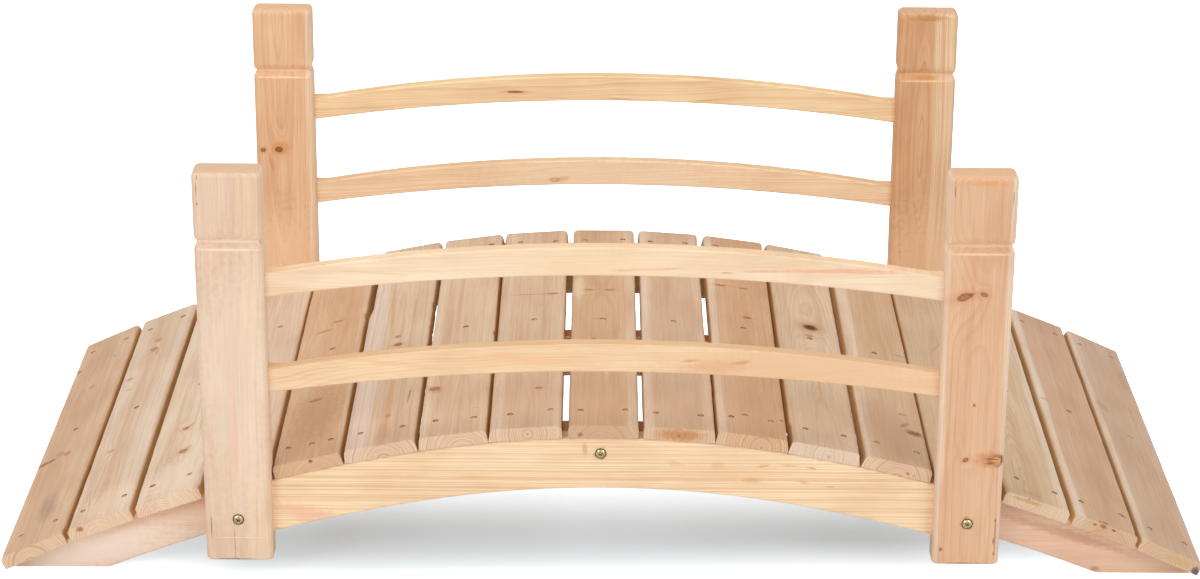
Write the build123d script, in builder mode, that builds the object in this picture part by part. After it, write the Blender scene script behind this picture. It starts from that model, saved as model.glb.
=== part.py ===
from build123d import *
import math
import os

os.makedirs("parts", exist_ok=True)

# The bridge stands on the ground at Z = 0, X runs along the walkway and Y across it.

# Arch of the beam tops: a round crown that runs on into flatter flanks.
crown_height = 182.0
crown_radius = 1300.0
crown_half_angle = 10.0
flank_radius = 1880.0

# Deck boards laid across the beams.
board_count = 17
board_width = 81.0
board_thickness = 16.3
board_overhang = 23.5
board_pitch = 87.0
board_top_rounding = 6.0
board_under_rounding = 1.2
board_end_easing = 0.8
board_seat_gap = 0.3

# Three arched beams with flat feet.
beam_depth = 54.0
beam_tip_height = 9.4
outer_beam_thickness = 33.0
middle_beam_thickness = 25.0
beam_outside_width = 623.0
beam_edge_easing = 1.5

# Posts, one pair on each side of the walkway, where a short board leaves room between its neighbours.
outer_board_count = 3
post_outset = 2.1
post_side_gap = 7.0
post_depth = 38.5
post_bottom = 29.0
post_height = 486.5
post_edge_rounding = 7.5
post_top_rounding = 7.5
post_bottom_easing = 1.5
groove_below_top = 94.5
groove_depth = 4.5
groove_lower_bevel = 10.5
groove_upper_roll = 9.5

# Arched boards below the deck edge, between the posts.
side_board_depth = 63.5
side_board_thickness = 23.0
side_board_easing = 1.5

# Thin arched rails let into the posts.
rail_thickness = 18.0
rail_depth_middle = 34.5
rail_depth_end = 31.0
rail_rise = 29.0
upper_rail_underside = 388.5
lower_rail_underside = 269.0
rail_face_setback = 10.5
rail_level_end = 13.0
rail_edge_easing = 1.6
rail_tenon_length = 16.0
mortise_clearance = 0.3

# Places that follow from the sizes above.
beam_outer_y = beam_outside_width / 2
post_front_y = beam_outer_y + post_depth
rail_y = post_front_y - rail_face_setback - rail_thickness / 2
board_length = beam_outside_width + 2 * board_overhang
short_board_length = beam_outside_width - 2 * board_seat_gap
short_board_number = outer_board_count + 1
crown_arc_length = crown_radius * math.radians(crown_half_angle)
crown_centre_z = crown_height - crown_radius
flank_centre_x = (flank_radius - crown_radius) * math.sin(math.radians(crown_half_angle))
flank_centre_z = crown_centre_z - (flank_radius - crown_radius) * math.cos(math.radians(crown_half_angle))


def arch_point(angle, offset):
    """Point on the arch at an angle from the vertical, moved out square to it."""
    turn = math.radians(abs(angle))
    if abs(angle) <= crown_half_angle:
        reach = crown_radius + offset
        x = reach * math.sin(turn)
        z = crown_centre_z + reach * math.cos(turn)
    else:
        reach = flank_radius + offset
        x = reach * math.sin(turn) - flank_centre_x
        z = flank_centre_z + reach * math.cos(turn)
    return (math.copysign(x, angle), z)


def angle_at_x(x, offset):
    """Angle at which the flank of the arch passes a distance from the middle."""
    return math.degrees(math.asin((x + flank_centre_x) / (flank_radius + offset)))


def angle_at_height(height, offset):
    """Angle at which the flank of the arch passes a height above the ground."""
    return math.degrees(math.acos((height - flank_centre_z) / (flank_radius + offset)))


def angle_along(length):
    """Angle of the arch after walking a length along it from the middle."""
    if abs(length) <= crown_arc_length:
        return math.degrees(length / crown_radius)
    flank_turn = math.degrees((abs(length) - crown_arc_length) / flank_radius)
    return math.copysign(crown_half_angle + flank_turn, length)


def board_angle(number):
    """Angle of the arch at the middle of a deck board, counted from the left."""
    return angle_along((number - (board_count + 1) / 2) * board_pitch)


post_x = abs(arch_point(board_angle(short_board_number), board_seat_gap)[0]) + post_outset
post_width = 2 * board_pitch - board_width - 2 * post_side_gap
post_inner_x = post_x - post_width / 2


def draw_arch(end_angle, offset):
    """Three arcs of the arch from the left end to the right end."""
    joints = (-end_angle, -crown_half_angle, crown_half_angle, end_angle)
    for start, finish in zip(joints, joints[1:]):
        middle = (start + finish) / 2
        ThreePointArc(arch_point(start, offset), arch_point(middle, offset), arch_point(finish, offset))


def make_beam(centre_y, thickness):
    """Arched beam with a flat foot and a low upright tip at each end."""
    tip_angle = angle_at_height(beam_tip_height, 0)
    heel_angle = angle_at_height(0, -beam_depth)
    tip_top = arch_point(tip_angle, 0)
    heel = arch_point(heel_angle, -beam_depth)
    with BuildPart() as beam:
        with BuildSketch(Plane.XZ.offset(-centre_y)):
            with BuildLine():
                draw_arch(tip_angle, 0)
                draw_arch(heel_angle, -beam_depth)
                for side in (-1, 1):
                    Polyline(
                        (side * tip_top[0], tip_top[1]),
                        (side * tip_top[0], 0),
                        (side * heel[0], 0),
                    )
            make_face()
        extrude(amount=thickness / 2, both=True)
        long_edges = beam.faces().filter_by(Axis.Y).edges().filter_by(GeomType.CIRCLE)
        chamfer(long_edges, beam_edge_easing)
    return beam.part


def make_deck_board(number):
    """Board laid square to the arch; the two in line with the posts stop short behind them."""
    angle = board_angle(number)
    turn = math.radians(angle)
    seat_x, seat_z = arch_point(angle, board_seat_gap)
    meets_posts = number in (short_board_number, board_count + 1 - short_board_number)
    length = short_board_length if meets_posts else board_length
    section = Plane(
        origin=(seat_x, 0, seat_z),
        x_dir=(math.cos(turn), 0, -math.sin(turn)),
        z_dir=(0, -1, 0),
    )
    with BuildPart() as board:
        with BuildSketch(section) as profile:
            Rectangle(board_width, board_thickness, align=(Align.CENTER, Align.MIN))
            fillet(profile.vertices().group_by(Axis.Y)[-1], board_top_rounding)
            fillet(profile.vertices().group_by(Axis.Y)[0], board_under_rounding)
        extrude(amount=length / 2, both=True)
        chamfer(board.faces().filter_by(Axis.Y).edges(), board_end_easing)
    return board.part


def make_post(side_x, side_y):
    """Upright with rounded edges, a bevelled groove near its top and two mortises."""
    centre_x = side_x * post_x
    centre_y = side_y * (beam_outer_y + post_depth / 2)
    top = post_bottom + post_height
    groove_z = top - groove_below_top
    with BuildPart() as post:
        with BuildSketch(Plane.XY.offset(post_bottom)):
            with Locations((centre_x, centre_y)):
                Rectangle(post_width, post_depth)
        extrude(amount=post_height)
        fillet(post.edges().filter_by(Axis.Z), post_edge_rounding)
        fillet(post.faces().sort_by(Axis.Z)[-1].edges(), post_top_rounding)
        chamfer(post.faces().sort_by(Axis.Z)[0].edges(), post_bottom_easing)
        for face_x, face_y, half_size, run in (
            (1, 0, post_width / 2, post_depth),
            (-1, 0, post_width / 2, post_depth),
            (0, 1, post_depth / 2, post_width),
            (0, -1, post_depth / 2, post_width),
        ):
            groove_plane = Plane(
                origin=(centre_x + face_x * half_size, centre_y + face_y * half_size, groove_z),
                x_dir=(face_x, face_y, 0),
                z_dir=(face_y, -face_x, 0),
            )
            with BuildSketch(groove_plane):
                with BuildLine():
                    bottom = (0, 0)
                    valley = (-groove_depth, groove_lower_bevel)
                    shoulder = (0, groove_lower_bevel + groove_upper_roll)
                    Line(bottom, valley)
                    TangentArc(shoulder, valley, tangent=(0, -1))
                    Line(shoulder, bottom)
                make_face()
            extrude(amount=run, both=True, mode=Mode.SUBTRACT)
        inner_face = Plane(
            origin=(side_x * post_inner_x, side_y * rail_y, 0),
            x_dir=(0, 1, 0),
            z_dir=(side_x, 0, 0),
        )
        for underside in (upper_rail_underside, lower_rail_underside):
            tenon_bottom = underside - rail_rise
            hole_centre = side_x * (tenon_bottom + rail_depth_end / 2)
            with BuildSketch(inner_face):
                with Locations((0, hole_centre)):
                    Rectangle(rail_thickness + 2 * mortise_clearance, rail_depth_end + 2 * mortise_clearance)
            extrude(amount=rail_tenon_length + mortise_clearance, mode=Mode.SUBTRACT)
    return post.part


def make_side_board(side_y):
    """Deep arched board on the outer beam's face, between the two posts."""
    face_plane = Plane.XZ.offset(-side_y * beam_outer_y)
    top_angle = angle_at_x(post_inner_x, 0)
    under_angle = angle_at_x(post_inner_x, -side_board_depth)
    with BuildPart() as side_board:
        with BuildSketch(face_plane):
            with BuildLine():
                draw_arch(top_angle, 0)
                draw_arch(under_angle, -side_board_depth)
                for side in (-1, 1):
                    Line(arch_point(side * top_angle, 0), arch_point(side * under_angle, -side_board_depth))
            make_face()
        extrude(amount=-side_y * side_board_thickness)
        outer_face = side_board.faces().sort_by(Axis.Y)[0 if side_y < 0 else -1]
        chamfer(outer_face.edges().filter_by(GeomType.CIRCLE), side_board_easing)
    return side_board.part


def make_rail(side_y, underside):
    """Thin arched rail whose level ends sit in the mortises of both posts."""
    end_x = post_inner_x + rail_tenon_length
    level_x = post_inner_x - rail_level_end
    end_under = underside - rail_rise
    end_top = end_under + rail_depth_end
    with BuildPart() as rail:
        with BuildSketch(Plane.XZ.offset(-side_y * rail_y)):
            with BuildLine():
                ThreePointArc((-post_inner_x, end_under), (0, underside), (post_inner_x, end_under))
                ThreePointArc((-level_x, end_top), (0, underside + rail_depth_middle), (level_x, end_top))
                for side in (-1, 1):
                    Polyline(
                        (side * post_inner_x, end_under),
                        (side * end_x, end_under),
                        (side * end_x, end_top),
                        (side * level_x, end_top),
                    )
            make_face()
        extrude(amount=rail_thickness / 2, both=True)
        long_edges = rail.faces().filter_by(Axis.Y).edges().filter_by(GeomType.CIRCLE)
        chamfer(long_edges, rail_edge_easing)
    return rail.part


def save(solid, name):
    """Label a finished piece and write it out."""
    solid.label = name
    export_step(solid, f"parts/{name}.step")


outer_beam_y = beam_outer_y - outer_beam_thickness / 2
save(make_beam(-outer_beam_y, outer_beam_thickness), "beam_front")
save(make_beam(0, middle_beam_thickness), "beam_middle")
save(make_beam(outer_beam_y, outer_beam_thickness), "beam_back")

for number in range(1, board_count + 1):
    save(make_deck_board(number), f"deck_board_{number:02d}")

for side_y, side_name in ((-1, "front"), (1, "back")):
    save(make_side_board(side_y), f"side_board_{side_name}")
    save(make_rail(side_y, upper_rail_underside), f"rail_{side_name}_upper")
    save(make_rail(side_y, lower_rail_underside), f"rail_{side_name}_lower")
    for side_x, end_name in ((-1, "left"), (1, "right")):
        save(make_post(side_x, side_y), f"post_{side_name}_{end_name}")
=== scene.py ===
import bpy
import bmesh
import math
import random
from mathutils import Matrix, Vector, noise


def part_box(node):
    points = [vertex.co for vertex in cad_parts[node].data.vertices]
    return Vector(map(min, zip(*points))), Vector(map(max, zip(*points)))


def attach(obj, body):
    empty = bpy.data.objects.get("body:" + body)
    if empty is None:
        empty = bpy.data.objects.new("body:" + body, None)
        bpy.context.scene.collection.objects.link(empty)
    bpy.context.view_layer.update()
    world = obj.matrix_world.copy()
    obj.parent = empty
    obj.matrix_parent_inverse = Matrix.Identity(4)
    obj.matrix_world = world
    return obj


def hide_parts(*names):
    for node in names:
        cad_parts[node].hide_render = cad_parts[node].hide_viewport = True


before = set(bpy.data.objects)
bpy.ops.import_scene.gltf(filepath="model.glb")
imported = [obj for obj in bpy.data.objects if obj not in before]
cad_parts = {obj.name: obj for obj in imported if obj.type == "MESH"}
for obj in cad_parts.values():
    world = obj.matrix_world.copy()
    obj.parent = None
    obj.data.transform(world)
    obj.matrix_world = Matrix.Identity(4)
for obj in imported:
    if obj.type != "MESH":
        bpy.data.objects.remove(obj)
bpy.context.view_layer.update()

# The viewer stands in front of the middle of the bridge, a little above the rails, and looks
# down across the deck. The picture is 1200 pixels wide and its content leans slightly to the right.
view_width = 1200
view_focal_pixels = 3148.2
view_centre_drop_pixels = 8.2
viewer_place = (-0.0073, -3.7194, 1.6781)
view_down = math.radians(21.279)
view_aside = math.radians(-0.04)
view_lean = math.radians(0.362)

view = bpy.data.cameras.new("view")
view.sensor_width = 36
view.lens = view.sensor_width * view_focal_pixels / view_width
view.shift_y = view_centre_drop_pixels / view_width
viewer = bpy.data.objects.new("view", view)
bpy.context.scene.collection.objects.link(viewer)
viewer.matrix_world = (
    Matrix.Translation(viewer_place)
    @ Matrix.Rotation(view_aside, 4, "Z")
    @ Matrix.Rotation(math.pi / 2 - view_down, 4, "X")
    @ Matrix.Rotation(view_lean, 4, "Z")
)
bpy.context.scene.camera = viewer
bpy.context.scene.view_settings.view_transform = "Standard"

# The bridge stands on a plain white studio floor that keeps its soft shadow. One broad lamp hangs
# above and before it, one stands to each side of the viewer, and the room itself is pale.
lamp_target = (0, 0, 0.2)
white = (1, 1, 1, 1)
room_light = (0.98, 0.99, 1.0, 1)
room_strength = 0.58
floor_reach = 30
floor_lit = (0.92, 0.92, 0.92, 1)
floor_seen = (0.82, 0.91, 0.99, 1)
floor_glow_colour = (0.92, 0.98, 1.0, 1)
floor_slant = -0.06


def lamp(name, place, size, power):
    """A flat lamp that shines at the middle of the bridge."""
    light = bpy.data.lights.new(name, "AREA")
    light.shape = "RECTANGLE"
    light.size, light.size_y = size
    light.energy = power
    lamp_object = bpy.data.objects.new(name, light)
    aim = (Vector(lamp_target) - Vector(place)).to_track_quat("-Z", "Y")
    lamp_object.matrix_world = Matrix.Translation(place) @ aim.to_matrix().to_4x4()
    bpy.context.scene.collection.objects.link(lamp_object)


def empty_tree(owner):
    """The node tree of a material or a room, with nothing in it."""
    owner.use_nodes = True
    owner.node_tree.nodes.clear()
    return owner.node_tree


def put(tree, kind, inputs=None, **settings):
    """Add a node, with its settings, and with a value or a link for each named input."""
    made = tree.nodes.new(kind)
    for name, value in settings.items():
        setattr(made, name, value)
    for key, value in (inputs or {}).items():
        if isinstance(value, bpy.types.NodeSocket):
            tree.links.new(value, made.inputs[key])
        else:
            made.inputs[key].default_value = value
    return made


def sum_up(tree, operation, *values):
    """One arithmetic step; each value is a number or another step's result."""
    return put(tree, "ShaderNodeMath", dict(enumerate(values)), operation=operation).outputs[0]


def ease(tree, value, low, high, before=0.0, after=1.0):
    """One amount below low and another above high, changing smoothly between."""
    step = put(tree, "ShaderNodeMapRange", {"Value": value, "From Min": low, "From Max": high,
               "To Min": before, "To Max": after}, interpolation_type="SMOOTHSTEP")
    return step.outputs[0]


lamp("overhead", (-0.4, -0.4, 3.4), (1.8, 1.4), 32)
lamp("front_left", (-2.6, -3.4, 2.0), (2.0, 2.0), 46)
lamp("front_right", (3.0, -3.0, 1.8), (2.0, 2.0), 40)

room = bpy.data.worlds.new("room")
bpy.context.scene.world = room
tree = empty_tree(room)
ray = put(tree, "ShaderNodeLightPath").outputs
looked_at = sum_up(tree, "MAXIMUM", ray["Is Camera Ray"], ray["Is Glossy Ray"])
lit_room = put(tree, "ShaderNodeBackground", {"Color": room_light, "Strength": room_strength})
seen_room = put(tree, "ShaderNodeBackground", {"Color": white})
choice = put(tree, "ShaderNodeMixShader", {0: looked_at, 1: lit_room.outputs[0], 2: seen_room.outputs[0]})
put(tree, "ShaderNodeOutputWorld", {"Surface": choice.outputs[0]})

# To the camera the floor glows, so that only the ground under the front of the bridge looks darker, as in
# the photo. Each fade runs from one place to another, in metres, with a glow at its start and at its end.
corners = [(x * floor_reach, y * floor_reach, 0) for x, y in ((-1, -1), (1, -1), (1, 1), (-1, 1))]
floor_mesh = bpy.data.meshes.new("floor")
floor_mesh.from_pydata(corners, [], [(0, 1, 2, 3)])
floor = bpy.data.objects.new("floor", floor_mesh)
bpy.context.scene.collection.objects.link(floor)
floor_paint = bpy.data.materials.new("white_floor")
tree = empty_tree(floor_paint)
where = put(tree, "ShaderNodeTexCoord").outputs["Object"]
place = put(tree, "ShaderNodeSeparateXYZ", {0: where}).outputs
slanted = sum_up(tree, "MULTIPLY_ADD", place["X"], floor_slant, place["Y"])
aside = sum_up(tree, "ABSOLUTE", place["X"])
glow = 0.0
for way, start, end, start_glow, end_glow in (
    (place["Y"], -0.235, -0.015, 0.325, 1.10),
    (slanted, -0.40, -0.235, 0.66, 0.0),
    (aside, 0.28, 0.60, 0.0, 0.35),
):
    glow = sum_up(tree, "ADD", ease(tree, way, start, end, start_glow, end_glow), glow)
lit_floor = put(tree, "ShaderNodeBsdfDiffuse", {"Color": floor_lit})
pale_floor = put(tree, "ShaderNodeBsdfDiffuse", {"Color": floor_seen})
shine = put(tree, "ShaderNodeEmission", {"Color": floor_glow_colour, "Strength": glow})
seen_floor = put(tree, "ShaderNodeAddShader", {0: pale_floor.outputs[0], 1: shine.outputs[0]})
seen = put(tree, "ShaderNodeLightPath").outputs["Is Camera Ray"]
choice = put(tree, "ShaderNodeMixShader", {0: seen, 1: lit_floor.outputs[0], 2: seen_floor.outputs[0]})
put(tree, "ShaderNodeOutputMaterial", {"Surface": choice.outputs[0]})
floor_mesh.materials.append(floor_paint)


# The three beams are cut to the arch from thick planed fir, pale with pinkish growth lines. They
# carry the boards and stand on flat feet; the grain runs from end to end of each.
def times(tree, first, *others):
    """Numbers or results multiplied one after another."""
    for other in others:
        first = sum_up(tree, "MULTIPLY", first, other)
    return first


def plus(tree, first, second):
    """Two numbers or results added."""
    return sum_up(tree, "ADD", first, second)


def rest_of(tree, value):
    """What is left of 1 beyond a value."""
    return sum_up(tree, "SUBTRACT", 1.0, value)


def blend(tree, amount, under, over, mode="MIX"):
    """Lay one colour over another."""
    # The mix node has inputs for numbers, vectors and colours; 6 and 7 are its two colours.
    mix = put(tree, "ShaderNodeMix", {0: amount, 6: under, 7: over}, data_type="RGBA", blend_type=mode,
              clamp_factor=True)
    return mix.outputs[2]


def cloud(tree, point, stretch, seed, detail=3.0, roughness=0.55, output=0):
    """Soft noise from 0 to 1 about 0.5, stretched by so many turns a metre along, across and through."""
    scaled = put(tree, "ShaderNodeVectorMath", {0: point, 1: stretch}, operation="MULTIPLY")
    return put(tree, "ShaderNodeTexNoise", {"Vector": scaled.outputs[0], "W": seed, "Scale": 1.0,
               "Detail": detail, "Roughness": roughness}, noise_dimensions="4D").outputs[output]


def group_start(name, inputs, outputs):
    """An empty node group with its named numbers and vectors."""
    group = bpy.data.node_groups.new(name, "ShaderNodeTree")
    for socket_name in inputs:
        kind = "NodeSocketVector" if socket_name in ("Point", "Centre") else "NodeSocketFloat"
        group.interface.new_socket(socket_name, in_out="INPUT", socket_type=kind)
    for socket_name in outputs:
        group.interface.new_socket(socket_name, in_out="OUTPUT", socket_type="NodeSocketFloat")
    return group, group.nodes.new("NodeGroupInput").outputs


def make_growth_rings():
    """Rings round a pith that runs along X, wavering along the trunk and uneven from year to year."""
    waver_turns = (2.6, 8.0, 8.0)
    uneven_turns = 130.0
    uneven_years = 2.4
    tree, given = group_start(
        "growth_rings",
        ["Point", "Pith Y", "Pith Z", "Lean", "Ring Width", "Waver", "Seed", "Bulge"],
        ["Late Wood", "Radius", "Year"],
    )
    place = put(tree, "ShaderNodeSeparateXYZ", {0: given["Point"]}).outputs
    drift = cloud(tree, given["Point"], waver_turns, given["Seed"], roughness=0.5, output="Color")
    drift_parts = put(tree, "ShaderNodeSeparateXYZ", {0: drift}).outputs
    offsets = []
    for axis, pith in ((1, "Pith Y"), (2, "Pith Z")):
        waver = times(tree, sum_up(tree, "SUBTRACT", drift_parts[axis], 0.5), given["Waver"])
        offsets.append(plus(tree, sum_up(tree, "SUBTRACT", place[axis], given[pith]), waver))
    offsets[1] = sum_up(tree, "SUBTRACT", offsets[1], times(tree, place[0], given["Lean"]))
    squares = [times(tree, value, value) for value in offsets]
    radius = plus(tree, sum_up(tree, "SQRT", plus(tree, *squares)), given["Bulge"])
    uneven_place = plus(tree, times(tree, radius, uneven_turns), given["Seed"])
    uneven = put(tree, "ShaderNodeTexNoise", {"W": uneven_place, "Scale": 1.0, "Detail": 1.0},
                 noise_dimensions="1D").outputs[0]
    years = plus(tree, sum_up(tree, "DIVIDE", radius, given["Ring Width"]), times(tree, uneven, uneven_years))
    year = put(tree, "ShaderNodeTexWhiteNoise", {"W": sum_up(tree, "FLOOR", years)}, noise_dimensions="1D")
    season = sum_up(tree, "FRACT", years)
    late = times(tree, ease(tree, season, 0.42, 0.90), rest_of(tree, ease(tree, season, 0.92, 1.0)))
    put(tree, "NodeGroupOutput", {"Late Wood": late, "Radius": radius, "Year": year.outputs["Value"]})
    return tree


def spot_distance(tree, given, raggedness):
    """How far a point lies from an oval's centre, where 1 is its ragged edge, and its place by the oval."""
    grain_turns = 140.0
    away = put(tree, "ShaderNodeVectorMath", {0: given["Point"], 1: given["Centre"]}, operation="SUBTRACT")
    turned = put(tree, "ShaderNodeVectorRotate", {"Vector": away.outputs[0], "Angle": given["Turn"]},
                 rotation_type="Z_AXIS")
    parts = put(tree, "ShaderNodeSeparateXYZ", {0: turned.outputs[0]}).outputs
    ragged = put(tree, "ShaderNodeTexNoise", {"Vector": away.outputs[0], "W": given["Seed"],
                 "Scale": grain_turns, "Detail": 2.5}, noise_dimensions="4D").outputs[0]
    along = sum_up(tree, "DIVIDE", parts[0], given["Half Along"])
    across = sum_up(tree, "DIVIDE", parts[1], given["Half Across"])
    square = plus(tree, times(tree, along, along), times(tree, across, across))
    shift = times(tree, sum_up(tree, "SUBTRACT", ragged, 0.5), raggedness)
    return plus(tree, sum_up(tree, "SQRT", square), shift), parts


def make_branch_knot():
    """A branch that passes square through the wood: its heart, its dark rim and the grain it pushes aside."""
    bulge_stretch = 0.40
    bulge_fall = -0.16
    bulge_push = 0.8
    tree, given = group_start(
        "branch_knot",
        ["Point", "Centre", "Half Along", "Half Across", "Turn", "Seed"],
        ["Heart", "Rim", "Halo", "Bulge"],
    )
    distance, parts = spot_distance(tree, given, 0.8)
    heart = rest_of(tree, ease(tree, distance, 0.75, 1.05))
    rim = times(tree, ease(tree, distance, 0.50, 0.92), rest_of(tree, ease(tree, distance, 1.0, 1.35)))
    halo = rest_of(tree, ease(tree, distance, 1.0, 3.4))
    along = times(tree, parts[0], bulge_stretch)
    reach = sum_up(tree, "SQRT", plus(tree, times(tree, along, along), times(tree, parts[1], parts[1])))
    ratio = sum_up(tree, "DIVIDE", reach, given["Half Across"])
    fall = sum_up(tree, "EXPONENT", times(tree, ratio, ratio, bulge_fall))
    bulge = times(tree, fall, given["Half Across"], bulge_push)
    put(tree, "NodeGroupOutput", {"Heart": heart, "Rim": rim, "Halo": halo, "Bulge": bulge})
    return tree


def make_soft_mark():
    """A soft-edged mark, such as a smudge, a resin line, a crack or a pale patch, or a patch of painted shade
    or a painted highlight.
    """
    tree, given = group_start(
        "stain", ["Point", "Centre", "Half Along", "Half Across", "Turn", "Seed"], ["Amount"])
    distance = spot_distance(tree, given, 1.1)[0]
    put(tree, "NodeGroupOutput", {"Amount": rest_of(tree, ease(tree, distance, 0.35, 1.15))})
    return tree


growth_rings = make_growth_rings()
branch_knot = make_branch_knot()
soft_mark = make_soft_mark()

# Turns of noise a metre along, across and through a stick, for each unevenness of planed softwood.
drift_turns = (3.0, 16.0, 16.0)
heart_edge_turns = (3.0, 30.0, 30.0)
sap_edge_turns = (2.5, 12.0, 1.0)
streak_turns = (1.6, 75.0, 40.0)
mottle_turns = (10.0, 26.0, 26.0)
fibre_turns = (14.0, 900.0, 900.0)
pore_turns = (60.0, 500.0, 500.0)
# What all the sticks share: how far the edges of the heart and the sapwood swing, in metres, where the
# near ends of the boards begin, and how strongly each thing shows.
heart_edge_swing = 0.012
heart_edge_fade = 0.005
sap_edge_swing = 0.014
near_end_start = -0.2
heart_strength = 0.85
mottle_strength = 0.22
mottle_colour = (214, 184, 158)
fibre_light = 0.14
fibre_dark = 0.13
fibre_shadow_colour = (150, 105, 72)
pore_strength = 0.25
pith_strength = 0.8
pith_colour = (122, 82, 54)
knot_halo_strength = 0.55
knot_heart_strength = 0.85
knot_rim_strength = 0.75
knot_rim_colour = (122, 64, 26)
bump_strength = 0.25
bump_height = 0.0004
wood_roughness = 0.56
fibre_roughness = 0.12
wood_shine = 0.3


def shade(red, green, blue):
    """A wood colour given as a painter would mix it on screen, 0 to 255, in the units that shaders use."""
    return tuple((part / 255) ** 2.2 for part in (red, green, blue)) + (1,)


def tinted(tree, colour, tint, *amounts, mode="MIX"):
    """A colour with another laid over it, as strongly as the amounts multiplied say."""
    return blend(tree, times(tree, *amounts), colour, shade(*tint), mode)


def swing(tree, point, turns, seed, width):
    """How far an edge that isn't straight lies from its line."""
    return sum_up(tree, "MULTIPLY_ADD", cloud(tree, point, turns, seed), width, -width / 2)


def facing_amount(tree, direction, low, high):
    """0 to 1, by how squarely the surface faces a direction or its opposite."""
    facing = put(tree, "ShaderNodeTexCoord").outputs["Normal"]
    match = put(tree, "ShaderNodeVectorMath", {0: facing, 1: tuple(direction)}, operation="DOT_PRODUCT")
    return ease(tree, sum_up(tree, "ABSOLUTE", match.outputs["Value"]), low, high)


def spot(tree, group, point, place, turn, seed):
    """A knot or a mark, whose place is along, across, half along and half across, in millimetres."""
    along, across, half_along, half_across = (length / 1000 for length in place)
    return put(tree, "ShaderNodeGroup", {
        "Point": point, "Centre": (along, across, 0), "Half Along": half_along, "Half Across": half_across,
        "Turn": math.radians(turn), "Seed": seed}, node_tree=group).outputs


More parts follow.
